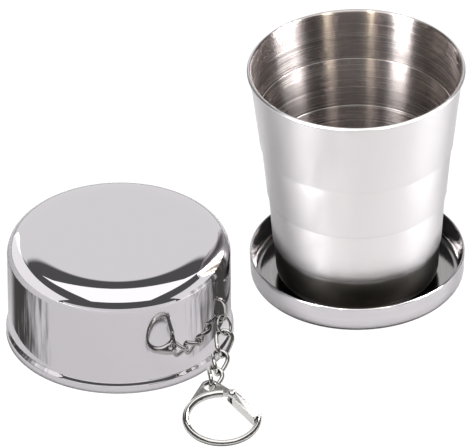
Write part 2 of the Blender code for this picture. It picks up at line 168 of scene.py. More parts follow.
# Snap hook, in its own plane
EYE_PLACE = Vector((-44.95, -66.5, 4.35)) * MM
HOOK_TILT = math.radians(7.8)
HOOK_CENTRE = Vector((3.5, -13.5)) * MM
HOOK_RADIUS = 10.95 * MM
HOOK_WIRE = 0.95 * MM
HOOK_SHOULDER = 1.2 * MM
THINNING = 0.67
HOOK_START = 88.0
HOOK_END = 374.0
PLATE_HALF = 0.7 * MM
PLATE_EDGE = 0.18 * MM              # rounding of the plate's edges
EYE_HOLE = 1.9 * MM
EYE_RIM = 2.95 * MM
PIVOT_RIM = 1.35 * MM
GATE_PIVOT = Vector((6.54, -3.8)) * MM
GATE_ANGLE = math.radians(-54.6)
GATE_HALF_HEIGHT = 1.6 * MM
GATE_EDGE = 0.12 * MM               # rounding of the gate's edges
PIN_RADIUS = 0.55 * MM
PIN_HEAD = 1.1 * MM
PIN_PLAY = 0.1 * MM
PIN_DOME = 0.4 * MM
SPRING_WIRE = 0.15 * MM
SPRING_RADIUS = 0.9 * MM
SPRING_TURNS = 2
SPRING_LOW = 0.33 * MM
SPRING_HIGH = 0.95 * MM
SPRING_LEG = 5.0 * MM
SPRING_KNEE = 1.6 * MM              # where the leg leaves the coil
SPRING_TURN_STEPS = 36

# Steels: noise scales are per metre, heights in metres
MARKS_ROUND = 30.0
MARKS_ALONG = 6000.0
RADIUS_SHARE = 0.7                  # how fast the marks change along a radius, against along the axis
COARSE_SCALE = 0.16                 # coarse marks, against the fine ones
FINE_SHARE = 0.55
MARK_LIMITS = (0.32, 0.68)          # between these two values of the marks' noise, steel turns light
INNER_MARK_LIMITS = (0.3, 0.7)
MARK_DEPTH = 0.16
MARK_HEIGHT = 0.0000016
CLOUD_SCALE = 90.0
CLOUD_HEIGHT = 0.0000012
WAVE_SCALE = 55.0
SMUDGE_SCALE = 38.0
SMUDGE_LIMITS = (0.52, 0.72)
SMUDGE_ROUGHNESS = 0.035
LEVEL_BLUR = 0.12
FLATS_LIGHT = 1.25
# Painted shade: how far its edge round the stages' feet wanders, its tint, and the darkening deep inside
FOOT_SHADE_WANDER = 2.0 * MM
SHADE_TINT = (0.05, 0.045, 0.04, 1.0)
WELL_SHADE_TINT = (0.06, 0.052, 0.048, 1.0)
WELL_REACH = 60.0 * MM              # painted shade: the inside darkens where it is less open than the second limit
WELL_LIMITS = (0.08, 0.36)
WELL_AMOUNT = 0.5


# Shader node helper ---------------------------------------------------------------------------------------

class Nodes:
    """Builds one node tree: each call adds a node and returns the socket that others link to."""

    def __init__(self, tree):
        self.tree = tree
        tree.nodes.clear()

    def add(self, kind, inputs=None, **settings):
        node = self.tree.nodes.new(kind)
        for name, value in settings.items():
            setattr(node, name, value)
        for name, value in (inputs or {}).items():
            self.set(node.inputs[name], value)
        return node

    def set(self, socket, value):
        if isinstance(value, bpy.types.NodeSocket):
            self.tree.links.new(value, socket)
        else:
            socket.default_value = value

    def math(self, operation, a, b=0.0):
        return self.add("ShaderNodeMath", {0: a, 1: b}, operation=operation).outputs[0]

    def remap(self, value, low, high, to_low=0.0, to_high=1.0, smooth=True):
        kind = "SMOOTHSTEP" if smooth else "LINEAR"
        limits = {"Value": value, "From Min": low, "From Max": high, "To Min": to_low, "To Max": to_high}
        return self.add("ShaderNodeMapRange", limits, interpolation_type=kind).outputs[0]

    def mix(self, factor, a, b):
        node = self.add("ShaderNodeMix", data_type="RGBA")
        self.set(node.inputs[0], factor)
        self.set(node.inputs[6], a)
        self.set(node.inputs[7], b)
        return node.outputs[2]

    def noise(self, vector, scale, detail=3.0, roughness=0.5):
        values = {"Vector": vector, "Scale": scale, "Detail": detail, "Roughness": roughness}
        return self.add("ShaderNodeTexNoise", values).outputs["Fac"]

    def openness(self, reach):
        """1 in the open, less where something stands nearer than the reach."""
        return self.add("ShaderNodeAmbientOcclusion", {"Distance": reach}, samples=4).outputs["AO"]


# Steels ---------------------------------------------------------------------------------------------------

def rgba(colour, factor=1.0):
    return (*(c * factor for c in colour), 1.0)


def facing_axis(n, where):
    """1 on faces that look towards the piece's own Z axis, 0 on those that look away from it."""
    normal = n.add("ShaderNodeTexCoord").outputs["Normal"]
    flat = n.add("ShaderNodeVectorMath", {0: where, 1: (1.0, 1.0, 0.0)}, operation="MULTIPLY").outputs[0]
    out = n.add("ShaderNodeVectorMath", {0: flat, 1: normal}, operation="DOT_PRODUCT").outputs["Value"]
    return n.math("LESS_THAN", out, 0.0)


def facing_up(n, start):
    """1 on faces that look straight up or down, 0 where the normal's height is below the start."""
    normal = n.add("ShaderNodeSeparateXYZ", {0: n.add("ShaderNodeTexCoord").outputs["Normal"]})
    return n.remap(n.math("ABSOLUTE", normal.outputs["Z"]), start, start + LEVEL_BLUR)


def turning_marks(n, split):
    """Noise that barely changes round the Z axis and changes fast along a piece's outline."""
    x, y, z = (split.outputs[axis] for axis in "XYZ")
    square = n.math("ADD", n.math("MULTIPLY", x, x), n.math("MULTIPLY", y, y))
    along = n.math("ADD", z, n.math("MULTIPLY", n.math("SQRT", square), RADIUS_SHARE))
    place = n.add("ShaderNodeCombineXYZ", {0: n.math("MULTIPLY", x, MARKS_ROUND),
                                           1: n.math("MULTIPLY", y, MARKS_ROUND),
                                           2: n.math("MULTIPLY", along, MARKS_ALONG)}).outputs[0]
    fine = n.math("MULTIPLY", n.noise(place, 1.0, 2.0), FINE_SHARE)
    coarse = n.math("MULTIPLY", n.noise(place, COARSE_SCALE, 3.0), 1.0 - FINE_SHARE)
    return n.math("ADD", fine, coarse)


def steel(name, colour, roughness, lines, anisotropy=0.0, wobble=0.0, corner_shade=None, inside=None, shaded_flats=None,
          foot_shade=None):
    """Steel with turning marks, slow waviness, faint smudges and, where asked, other looks and painted shade.

    lines: how strong the turning marks are. wobble: height of the slow waves, in metres.
    corner_shade: painted shade in corners and where parts stand close, by ambient occlusion, as its amount,
    its reach, and the openness of unshaded and of fully shaded places.
    inside: the look of faces towards the axis, as two colours, roughness, anisotropy and lines. The two
    colours are darker than the outside's, and the inside darkens further where it is deep: both painted
    shade.
    shaded_flats: the look of level faces, as a colour, a roughness, and the normal's height where they begin;
    their darker colour is painted shade.
    foot_shade: painted shade round the foot, standing in for shadow and the reflected dark dish, as the
    height up to which it is full, its top, and its amount.
    """
    material = bpy.data.materials.new(name)
    material.use_nodes = True
    n = Nodes(material.node_tree)
    where = n.add("ShaderNodeTexCoord").outputs["Object"]
    split = n.add("ShaderNodeSeparateXYZ", {0: where})
    grain = turning_marks(n, split)
    cloud = n.noise(where, CLOUD_SCALE, 4.0)
    smudge = n.remap(n.noise(where, SMUDGE_SCALE, 5.0, 0.6), *SMUDGE_LIMITS)
    tint = n.mix(n.remap(grain, *MARK_LIMITS), rgba(colour, 1.0 - MARK_DEPTH * lines), rgba(colour))
    inner = 0.0
    if inside:
        dark, light, inner_roughness, inner_anisotropy, inner_lines = inside
        inner = facing_axis(n, where)
        # the inside's two colours are darker than the outside's: painted shade
        tint = n.mix(inner, tint, n.mix(n.remap(grain, *INNER_MARK_LIMITS), rgba(dark), rgba(light)))
        roughness = n.remap(inner, 0.0, 1.0, roughness, inner_roughness, smooth=False)
        anisotropy = n.remap(inner, 0.0, 1.0, anisotropy, inner_anisotropy, smooth=False)
        lines = n.remap(inner, 0.0, 1.0, lines, inner_lines, smooth=False)
        # painted shade: the inside darkens further where it is deep
        shade_amount = n.remap(n.openness(WELL_REACH), *WELL_LIMITS, WELL_AMOUNT, 0.0)
        tint = n.mix(n.math("MULTIPLY", shade_amount, inner), tint, WELL_SHADE_TINT)
    outer = n.math("SUBTRACT", 1.0, inner)
    # painted shade: darker in corners and where parts stand close, by ambient occlusion
    if corner_shade:
        amount, reach, clean, dirty = corner_shade
        shade_amount = n.remap(n.openness(reach), dirty, clean, amount, 0.0)
        tint = n.mix(n.math("MULTIPLY", shade_amount, outer), tint, SHADE_TINT)
    # level faces take a darker colour: painted shade
    if shaded_flats:
        level_shade_colour, level_roughness, start = shaded_flats
        level = facing_up(n, start)
        tint = n.mix(level, tint, n.mix(grain, rgba(level_shade_colour), rgba(level_shade_colour, FLATS_LIGHT)))
        roughness = n.remap(level, 0.0, 1.0, roughness, level_roughness, smooth=False)
    # painted shade and painted reflection of the dark dish, darker towards each stage's foot
    if foot_shade:
        full, top, amount = foot_shade
        wander = n.math("MULTIPLY", n.math("SUBTRACT", cloud, 0.5), FOOT_SHADE_WANDER)
        foot_shade_mask = n.remap(n.math("ADD", split.outputs["Z"], wander), full, top, amount, 0.0)
        tint = n.mix(n.math("MULTIPLY", foot_shade_mask, outer), tint, SHADE_TINT)
    uneven = n.math("MULTIPLY", n.math("SUBTRACT", grain, 0.5), lines)
    rough = n.math("MULTIPLY", n.math("ADD", uneven, 1.0), roughness)
    rough = n.math("ADD", rough, n.math("MULTIPLY", smudge, SMUDGE_ROUGHNESS))
    marks = n.math("MULTIPLY", n.math("MULTIPLY", grain, MARK_HEIGHT), lines)
    waves = n.math("MULTIPLY", n.noise(where, WAVE_SCALE, 1.0), wobble)
    height = n.math("ADD", n.math("ADD", marks, waves), n.math("MULTIPLY", cloud, CLOUD_HEIGHT))
    bump = n.add("ShaderNodeBump", {"Strength": 1.0, "Distance": 1.0, "Height": height})
    values = {"Base Color": tint, "Metallic": 1.0, "Roughness": rough, "Normal": bump.outputs[0]}
    if anisotropy != 0.0:
        tangent = n.add("ShaderNodeTangent", direction_type="RADIAL", axis="Z").outputs[0]
        values.update({"Anisotropic": anisotropy, "Anisotropic Rotation": 0.25, "Tangent": tangent})
    shader = n.add("ShaderNodeBsdfPrincipled", values)
    n.add("ShaderNodeOutputMaterial", {"Surface": shader.outputs[0]})
    return material


# Pieces ---------------------------------------------------------------------------------------------------

def arc(centre, radius, start, end, steps=None):
    """Points of an arc between two angles in degrees, both ends included."""
    steps = steps or max(2, round(abs(end - start) / ARC_STEP))
    angles = [math.radians(start + (end - start) * i / steps) for i in range(steps + 1)]
    return [Vector((centre[0] + radius * math.cos(a), centre[1] + radius * math.sin(a))) for a in angles]


def basis(forward, side):
    """A rotation whose X is forward and whose Y is the part of side that is square to it."""
    x = forward.normalized()
    y = (side - side.dot(x) * x).normalized()
    return Matrix((x, y, x.cross(y))).transposed()


def finish_piece(piece, node, material):
    """Puts a finished piece in the CAD node's place."""
    body = next(name for name, nodes in frame["record"]["behaviour"]["bodies"].items() if node in nodes)
    piece.data.materials.clear()
    piece.data.materials.append(material)
    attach(piece, body)
    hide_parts(node)
    fine_pieces.append((node, piece))


def mesh_object(name, shape, location=(0, 0, 0), turn=None, sharp=35.0):
    mesh = bpy.data.meshes.new(name)
    shape.to_mesh(mesh)
    shape.free()
    mesh.shade_smooth()
    mesh.set_sharp_from_angle(angle=math.radians(sharp))
    piece = bpy.data.objects.new(name, mesh)
    bpy.context.scene.collection.objects.link(piece)
    piece.matrix_world = Matrix.Translation(location) @ (turn.to_4x4() if turn else Matrix())
    return piece


def turned(name, outline, closed, location=(0, 0, 0), turn=None, segments=SEGMENTS):
    """A solid of revolution about Z. The outline is (radius, height), down its outer side."""
    shape = bmesh.new()
    points = [shape.verts.new((r, 0.0, z)) for r, z in outline]
    pairs = list(zip(points, points[1:]))
    if closed:
        pairs.append((points[-1], points[0]))
    edges = [shape.edges.new(pair) for pair in pairs]
    bmesh.ops.spin(shape, geom=[*points, *edges], cent=(0, 0, 0), axis=(0, 0, 1), angle=math.tau,
                   steps=segments, use_merge=True)
    bmesh.ops.remove_doubles(shape, verts=shape.verts, dist=SAME_POINT)
    bmesh.ops.recalc_face_normals(shape, faces=shape.faces)
    return mesh_object(name, shape, location, turn)


def curve_piece(name, splines, location, turn, **settings):
    """A mesh made from a curve. Each spline is (points, cyclic) or (points, cyclic, radius factors)."""
    data = bpy.data.curves.new(name, "CURVE")
    for key, value in settings.items():
        setattr(data, key, value)
    for points, cyclic, *factors in splines:
        spline = data.splines.new("POLY")
        spline.points.add(len(points) - 1)
        for slot, point in zip(spline.points, points):
            slot.co = (point[0], point[1], point[2] if len(point) > 2 else 0.0, 1.0)
        if factors:
            for slot, factor in zip(spline.points, factors[0]):
                slot.radius = factor
        spline.use_cyclic_u = cyclic
    source = bpy.data.objects.new(name, data)
    bpy.context.scene.collection.objects.link(source)
    bpy.context.view_layer.update()
    shape = bmesh.new()
    shape.from_mesh(source.evaluated_get(bpy.context.evaluated_depsgraph_get()).to_mesh())
    bpy.data.objects.remove(source, do_unlink=True)
    bmesh.ops.remove_doubles(shape, verts=shape.verts, dist=SAME_POINT)
    bmesh.ops.recalc_face_normals(shape, faces=shape.faces)
    return mesh_object(name, shape, location, turn)


def wire(name, points, radius, location=(0, 0, 0), turn=None, cyclic=False, factors=None):
    spline = (points, cyclic, factors) if factors else (points, cyclic)
    return curve_piece(name, [spline], location, turn, dimensions="3D", bevel_depth=radius,
                       bevel_resolution=6, use_fill_caps=not cyclic)


# Outlines of the cup, dish and lid ------------------------------------------------------------------------

def stage_radii():
    """Each stage's outer radius and the height it holds at, worked down from the upper ring's foot."""
    known = {"upper": (UPPER_FOOT_RADIUS, STAGE_FOOT["upper"])}
    for above, stage in (("upper", "middle"), ("middle", "lower"), ("lower", "base")):
        foot = STAGE_FOOT[above]
        at_foot = known[above][0] + (foot - known[above][1]) * STAGE_TAPER[above]
        known[stage] = (at_foot - SHEET - STAGE_GAP, foot)
    return known


def outer_radius(stage, height):
    radius, known_height = stage_radii()[stage]
    return radius + (height - known_height) * STAGE_TAPER[stage]


def half_round(stage, height, up):
    """The rounded edge of a stage's sheet, from its outer side over to its inner side."""
    soft = SHEET / 2
    centre = (outer_radius(stage, height) - soft, height - soft * up)
    return arc(centre, soft, 0, 180 * up, 6)


def ring_outline(stage):
    foot = list(reversed(half_round(stage, STAGE_FOOT[stage], -1)))
    return [*half_round(stage, STAGE_TOP[stage], 1), *foot]


def upper_outline():
    """The top ring, whose sheet is rolled outwards into a bead."""
    foot = STAGE_FOOT["upper"]
    bead = (RIM_RADIUS - LIP_BEAD, RIM_HEIGHT - LIP_BEAD)
    rolled = arc(bead, LIP_BEAD, 180, -110, 24)
    return [*rolled, *half_round("upper", foot, -1)]


def base_cup_outline():
    top = STAGE_TOP["base"]
    bottom = DISH_SHEET + STAGE_GAP
    bend = bottom + BASE_CORNER
    centre = (outer_radius("base", bend) - BASE_CORNER, bend)
    inside = arc(centre, BASE_CORNER - SHEET, -90, 0)
    outside = arc(centre, BASE_CORNER, 0, -90)
    return [(0.0, bottom + SHEET), *inside, *reversed(half_round("base", top, 1)), *outside, (0.0, bottom)]


def dish_outline():
    corner = DISH_RADIUS - DISH_DRAFT - DISH_CORNER
    centre = (corner, DISH_CORNER)
    lip = DISH_SHEET / 2
    rim = (DISH_RADIUS - lip, DISH_HEIGHT - lip)
    return [(0.0, DISH_SHEET), *arc(centre, DISH_CORNER - DISH_SHEET, -90, 0), *arc(rim, lip, 180, 0, 10),
            *arc(centre, DISH_CORNER, 0, -90), (0.0, 0.0)]


def lid_outline():
    """The lid's outer side from the middle of its top down to the collar, then back up inside."""
    lean = math.radians(EASE_END)
    extra = LID_EASE - LID_CORNER
    corner = (LID_RADIUS - LID_CORNER, LID_HEIGHT - LID_EASE + extra * math.sin(lean))
    ease = (corner[0] - extra * math.cos(lean), LID_HEIGHT - LID_EASE)

    def shoulder(offset):
        eased = arc(ease, LID_EASE - offset, 90, EASE_END, EASE_STEPS)
        return [*eased, *arc(corner, LID_CORNER - offset, EASE_END, 0, CORNER_STEPS)[1:]]

    def flare(offset):
        points = []
        for i in range(FLARE_STEPS + 1):
            share = i / FLARE_STEPS
            swing = (1 - math.cos(math.pi * share)) / 2
            radius = LID_RADIUS + (COLLAR_RADIUS - LID_RADIUS) * swing - offset
            points.append((radius, FLARE_TOP + (COLLAR_TOP - FLARE_TOP) * share))
        return points

    edge = LID_SHEET / 2
    foot = arc((COLLAR_RADIUS - edge, edge), edge, 0, -180, 8)
    outside = [(0.0, LID_HEIGHT), *shoulder(0.0), *flare(0.0)]
    inside = [*reversed(flare(LID_SHEET)), *reversed(shoulder(LID_SHEET))]
    return [*outside, *foot, *inside, (0.0, LID_HEIGHT - LID_SHEET)]


def build_cup(satin, nested, polished, mirror):
    """The four stages, of which the top one has a brushed steel of its own, then the dish and the lid."""
    stages = {"base_cup": base_cup_outline(), "lower_ring": ring_outline("lower"),
              "middle_ring": ring_outline("middle"), "upper_ring": upper_outline()}
    for node, outline in stages.items():
        material = satin if node == "upper_ring" else nested
        finish_piece(turned(f"{node}_fine", outline, node != "base_cup"), node, material)
    finish_piece(turned("dish_fine", dish_outline(), False), "base_dish", polished)
    lid = turned("lid_fine", lid_outline(), False, LID_PLACE)
    lid.visible_glossy = False      # the cup and the chain mirror the studio, never the lid beside them
    finish_piece(lid, "lid_shell", mirror)


# Chain ----------------------------------------------------------------------------------------------------

def bow_point(angle):
    """A point of the lug's bow, in the frame of the wall: X out, Z up."""
    return (LUG_LEG + math.cos(angle) * (LUG_REACH - LUG_LEG), 0.0, math.sin(angle) * LUG_HALF_SPAN)


def lug_points():
    arch = [bow_point(math.radians(angle)) for angle in range(80, -81, -5)]
    return [(LUG_ROOT, 0.0, arch[0][2]), *arch, (LUG_ROOT, 0.0, arch[-1][2])]


def link_points(length):
    """The middle line of a long link along X, twisted evenly from end to end about its own length."""
    half_width = LINK_WIDTH / 2 - LINK_WIRE
    straight = length / 2 - LINK_WIRE - half_width
    right = [Vector((straight + p[0], p[1])) for p in arc((0, 0), half_width, -90, 90, 20)]
    left = [Vector((-straight + p[0], p[1])) for p in arc((0, 0), half_width, 90, 270, 20)]
    sides = [Vector((straight * x, half_width * y)) for y in (1, -1) for x in (0.5 * y, 0.0, -0.5 * y)]
    reach = straight + half_width
    points = []
    for x, y in [*right, *sides[:3], *left, *sides[3:]]:
        angle = LINK_TWIST * x / reach / 2
        points.append((x + reach, y * math.cos(angle), y * math.sin(angle)))
    return points


def chain_layout():
    """Places of the ring's top and of each link's first wire, the links' directions and their length."""
    out = Vector((math.cos(LUG_ANGLE), math.sin(LUG_ANGLE), 0.0))
    hold = bow_point(LUG_HOLD)
    held = LID_PLACE + out * (LID_RADIUS + hold[0]) + Vector((0, 0, LUG_HEIGHT + hold[2]))
    ring_top = held - RING_PULL * (RING_WIRE + LUG_WIRE + RING_SLACK)
    ring_foot = ring_top + RING_PULL * 2 * RING_RADIUS
    back = (ring_foot - EYE_PLACE) * Vector((1, 1, 0))
    last = EYE_PLACE + back.normalized() * (EYE_HOLE - LINK_WIRE - EYE_SLACK)
    chord = (last - ring_foot).normalized()
    for _ in range(4):              # the chord starts at the first link, whose place depends on the chord
        level = Vector((0, 0, 1)).cross(chord)
        directions = [Matrix.Rotation(sag, 3, level) @ chord for sag in CHAIN_SAG]
        first = ring_foot - directions[0] * (RING_WIRE + LINK_WIRE + CHAIN_SLACK)
        chord = (last - first).normalized()
    crossing = 2 * LINK_WIRE + CHAIN_SLACK
    overlaps = [(a + b).normalized() * crossing for a, b in zip(directions, directions[1:])]
    reach = last - first + sum(overlaps, Vector())
    middle_length = reach.dot(chord) / sum(d.dot(chord) for d in directions)
    starts = [first]
    for direction, overlap in zip(directions, overlaps):
        starts.append(starts[-1] + direction * middle_length - overlap)
    return ring_top, out, directions, starts, middle_length + 2 * LINK_WIRE


def build_chain(nickel):
    ring_top, out, directions, starts, link_length = chain_layout()
    wall = LID_PLACE + out * LID_RADIUS + Vector((0, 0, LUG_HEIGHT))
    lug = wire("lug_fine", lug_points(), LUG_WIRE, wall, Matrix.Rotation(LUG_ANGLE, 3, "Z"))
    finish_piece(lug, "lid_lug", nickel)
    ring_turn = basis(RING_PULL, RING_PULL.cross(Vector((0, 0, 1)).cross(out)))
    circle = [(p[0] + RING_RADIUS, 0.0, p[1]) for p in arc((0, 0), RING_RADIUS, 0, 355, 71)]
    ring = wire("ring_fine", circle, RING_WIRE, ring_top, ring_turn, cyclic=True)
    finish_piece(ring, "lug_ring", nickel)
    for number, (start, direction, roll) in enumerate(zip(starts, directions, LINK_ROLLS), 1):
        turn = basis(direction, Vector((0, 0, 1)).cross(direction)) @ Matrix.Rotation(roll, 3, "X")
        link = wire(f"link_{number}_fine", link_points(link_length), LINK_WIRE, start, turn, cyclic=True)
        finish_piece(link, f"chain_link_{number}", nickel)


# Snap hook ------------------------------------------------------------------------------------------------

def plate_outline():
    """The flat plate, drawn smaller by the rounding that the bevel adds back."""
    merge = HOOK_WIRE * 0.8 - PLATE_EDGE
    eye = arc((0, 0), EYE_RIM - PLATE_EDGE, 155, 55)
    tongue = arc(GATE_PIVOT, PIVOT_RIM - PLATE_EDGE, 55, -75)
    inner = arc(HOOK_CENTRE, HOOK_RADIUS - merge, 73, 172)
    outer = arc(HOOK_CENTRE, HOOK_RADIUS + merge, 172, 158)
    return [*eye, *tongue, *inner, *outer]


def loop_spline():
    """The loop's middle line with the wire's radius along it: thinner past the shoulder, round at the tip."""
    line = arc(HOOK_CENTRE, HOOK_RADIUS, HOOK_START, HOOK_END, 140)
    factors = []
    for i in range(len(line)):
        thinned = min(1.0, i / len(line) / THINNING)
        radius = HOOK_SHOULDER + (HOOK_WIRE - HOOK_SHOULDER) * thinned
        left = (len(line) - 1 - i) * (line[1] - line[0]).length
        if left < radius:
            radius = math.sqrt(max(radius ** 2 - (radius - left) ** 2, (0.1 * radius) ** 2))
        factors.append(radius / HOOK_WIRE)
    return line, factors


def pin_outline():
    """A rivet with a low dome at each end."""
    head_base = GATE_HALF_HEIGHT + PIN_PLAY
    dome = [(PIN_HEAD * math.sin(a), head_base + PIN_DOME * math.cos(a))
            for a in (math.radians(9.0 * i) for i in range(11))]
    upper = [*dome, (PIN_RADIUS, head_base)]
    return [*upper, *[(r, -z) for r, z in reversed(upper)]]


def spring_points():
    """Two coils round the pin, then a leg along the gate's web."""
    steps = SPRING_TURN_STEPS * SPRING_TURNS
    turns = arc((0, 0), SPRING_RADIUS, 180, 180 + 360 * SPRING_TURNS, steps)
    coil = [(x, y, SPRING_LOW + (SPRING_HIGH - SPRING_LOW) * i / steps) for i, (x, y) in enumerate(turns)]
    quarter = [(x, y, SPRING_HIGH) for x, y in arc((0, 0), SPRING_RADIUS, 190, 265, 8)]
    leg = [(SPRING_KNEE, -SPRING_RADIUS, SPRING_HIGH),
           (SPRING_LEG, -SPRING_RADIUS * 0.9, SPRING_HIGH * 0.6)]
    return [*coil, *quarter, *leg]


def bevelled_copy(name, node, width):
    """The CAD node's own shape with its hard edges rounded."""
    shape = bmesh.new()
    shape.from_mesh(frame["nodes"][node].data)
    bmesh.ops.remove_doubles(shape, verts=shape.verts, dist=SAME_CAD_POINT)
    seams = [e for e in shape.edges if len(e.link_faces) == 2 and e.calc_face_angle() < FLAT_SEAM]
    bmesh.ops.dissolve_edges(shape, edges=seams, use_verts=True)
    corners = [e for e in shape.edges if len(e.link_faces) == 2 and e.calc_face_angle() > HARD_CORNER]
    bmesh.ops.bevel(shape, geom=corners, offset=width, segments=3, profile=0.5, affect="EDGES",
                    clamp_overlap=True)
    return mesh_object(name, shape)


def build_hook(nickel, plate_steel, gate_steel):
    lie = Matrix.Rotation(HOOK_TILT, 3, "X")
    pivot = EYE_PLACE + lie @ Vector((*GATE_PIVOT, 0.0))
    hole = arc((0, 0), EYE_HOLE + PLATE_EDGE, 0, 355, 71)
    plate = curve_piece("hook_plate", [(plate_outline(), True), (hole, True)], EYE_PLACE, lie,
                        dimensions="2D", fill_mode="BOTH", extrude=PLATE_HALF - PLATE_EDGE,
                        bevel_depth=PLATE_EDGE, bevel_resolution=3)
    finish_piece(plate, "hook_frame", plate_steel)
    line, factors = loop_spline()
    loop = wire("hook_loop", line, HOOK_WIRE, EYE_PLACE, lie, factors=factors)
    finish_piece(loop, "hook_frame", nickel)
    finish_piece(turned("rivet", pin_outline(), False, pivot, lie, segments=48), "gate_pin", nickel)
    turn = lie @ Matrix.Rotation(GATE_ANGLE, 3, "Z")
    finish_piece(wire("spring_fine", spring_points(), SPRING_WIRE, pivot, turn), "gate_spring", nickel)
    finish_piece(bevelled_copy("gate_fine", "hook_gate", GATE_EDGE), "hook_gate", gate_steel)


# Studio ---------------------------------------------------------------------------------------------------

def make_shade_flag_look():
    """A faint glow of painted shade, seen only from its front, that stands in for shadow in the lid's
    reflections.
    It comes in at one end and fades out in streaks at the other.
    """
    material = bpy.data.materials.new("shade_flag_glow")
    material.use_nodes = True
    n = Nodes(material.node_tree)
    share = n.add("ShaderNodeVertexColor", layer_name="shade").outputs["Color"]
    where = n.add("ShaderNodeTexCoord").outputs["Object"]
    stretched = n.add("ShaderNodeMapping", {"Vector": where, "Scale": STREAK_SCALE}).outputs[0]
    streaks = n.math("MULTIPLY", n.math("SUBTRACT", n.noise(stretched, 1.0), 0.5), STREAK_DEPTH)
    solid = n.remap(n.math("ADD", share, streaks), *FLAG_FADE, 1.0, 0.0)
    start = n.remap(share, *FLAG_START)
    in_front = n.math("LESS_THAN", n.add("ShaderNodeNewGeometry").outputs["Backfacing"], 0.5)
    cover = n.math("MULTIPLY", n.math("MULTIPLY", solid, start), in_front)
    shade_look = n.add("ShaderNodeEmission", {"Color": FLAG_TINT, "Strength": FLAG_GLOW}).outputs[0]
    clear = n.add("ShaderNodeBsdfTransparent").outputs[0]
    mixed = n.add("ShaderNodeMixShader", {"Fac": cover, 1: clear, 2: shade_look}).outputs[0]
    n.add("ShaderNodeOutputMaterial", {"Surface": mixed})
    return material


def build_shade_flag(start, end, distance, height, shade_look):
    """A bent card of painted shade round part of the lid, which only reflections show. Its layer "shade" runs
    from 0 to 1.
    """
    shape = bmesh.new()
    shade = shape.loops.layers.float_color.new("shade")
    columns = []
    for i in range(FLAG_STEPS + 1):
        foot = LID_PLACE + towards(start + (end - start) * i / FLAG_STEPS, 0.0) * distance
        columns.append([shape.verts.new(foot), shape.verts.new(foot + Vector((0, 0, height)))])
    for i, (left, right) in enumerate(zip(columns, columns[1:])):
        face = shape.faces.new([left[0], right[0], right[1], left[1]])
        for loop, column in zip(face.loops, (i, i + 1, i + 1, i)):
            share = column / FLAG_STEPS
            loop[shade] = (share, share, share, 1.0)
        face.normal_update()
        if face.normal.dot(LID_PLACE - left[0].co) < 0.0:
            face.normal_flip()
    flag = mesh_object("flag", shape)
    flag.visible_camera = False
    flag.visible_shadow = False
    flag.visible_diffuse = False
    flag.data.materials.append(shade_look)


def build_world():
    """A dark room with a white backdrop behind the object; the camera itself sees white all round."""
    world = bpy.data.worlds.new("studio")
    bpy.context.scene.world = world
    world.use_nodes = True
    n = Nodes(world.node_tree)
    direction = n.add("ShaderNodeTexCoord").outputs["Generated"]
    split = n.add("ShaderNodeSeparateXYZ", {0: direction})
    height = n.math("ARCSINE", split.outputs["Z"])
    top_start, top_end = (math.radians(BACKDROP_TOP + side * BACKDROP_TOP_BLUR) for side in (-1, 1))
    low = n.remap(height, top_start, top_end, 1.0, 0.0)
    far = n.math("GREATER_THAN", split.outputs["Y"], 0.0)
    aside = n.math("ABSOLUTE", split.outputs["X"])
    within = n.remap(aside, BACKDROP_SIDE - BACKDROP_SIDE_BLUR, BACKDROP_SIDE + BACKDROP_SIDE_BLUR, 1.0, 0.0)
    card = n.math("MULTIPLY", low, n.math("MULTIPLY", far, within))
    light = n.math("ADD", n.math("MULTIPLY", card, WHITE - ROOM), ROOM)
    seen = n.add("ShaderNodeLightPath").outputs["Is Camera Ray"]
    strength = n.math("MAXIMUM", light, n.math("MULTIPLY", seen, WHITE))
    shader = n.add("ShaderNodeBackground", {"Color": (1.0, 1.0, 1.0, 1.0), "Strength": strength})
    n.add("ShaderNodeOutputWorld", {"Surface": shader.outputs[0]})


def build_floor():
    """White paper, which the camera sees glow like a cut-out's background and the metal sees as lit paper,
    with painted shade where metal stands close to it.
    """
    mesh = bpy.data.meshes.new("floor")
    corners = [(x * PAPER_HALF, y * PAPER_HALF, 0.0) for x, y in ((-1, -1), (1, -1), (1, 1), (-1, 1))]
    mesh.from_pydata(corners, [], [(0, 1, 2, 3)])
    floor = bpy.data.objects.new("floor", mesh)
    bpy.context.scene.collection.objects.link(floor)
    material = bpy.data.materials.new("floor_white")
    material.use_nodes = True
    n = Nodes(material.node_tree)
    # painted shade: the paper darkens, in reflections only, where metal stands close
    white = n.remap(n.openness(PAPER_SHADE_REACH), *PAPER_SHADE_LIMITS, PAPER_SHADE_WHITE, PAPER_WHITE)
    tone = n.add("ShaderNodeCombineColor", {0: white, 1: white, 2: white}).outputs[0]
    paper = n.add("ShaderNodeBsdfDiffuse", {"Color": tone}).outputs[0]
    veil = n.add("ShaderNodeBsdfDiffuse", {"Color": rgba((PAPER_VEIL,) * 3)}).outputs[0]
    glow = n.add("ShaderNodeEmission", {"Color": (1.0, 1.0, 1.0, 1.0), "Strength": PAPER_GLOW}).outputs[0]
    lit = n.add("ShaderNodeAddShader", {0: veil, 1: glow}).outputs[0]
    seen = n.add("ShaderNodeLightPath").outputs["Is Camera Ray"]
    mixed = n.add("ShaderNodeMixShader", {0: seen, 1: paper, 2: lit}).outputs[0]
    n.add("ShaderNodeOutputMaterial", {"Surface": mixed})
    mesh.materials.append(material)
    return floor


def towards(azimuth, elevation):
    """The direction of a place on the sky: azimuth in degrees from the front towards the right."""
    turn, rise = math.radians(azimuth), math.radians(elevation)
    return Vector((math.sin(turn) * math.cos(rise), -math.cos(turn) * math.cos(rise), math.sin(rise)))


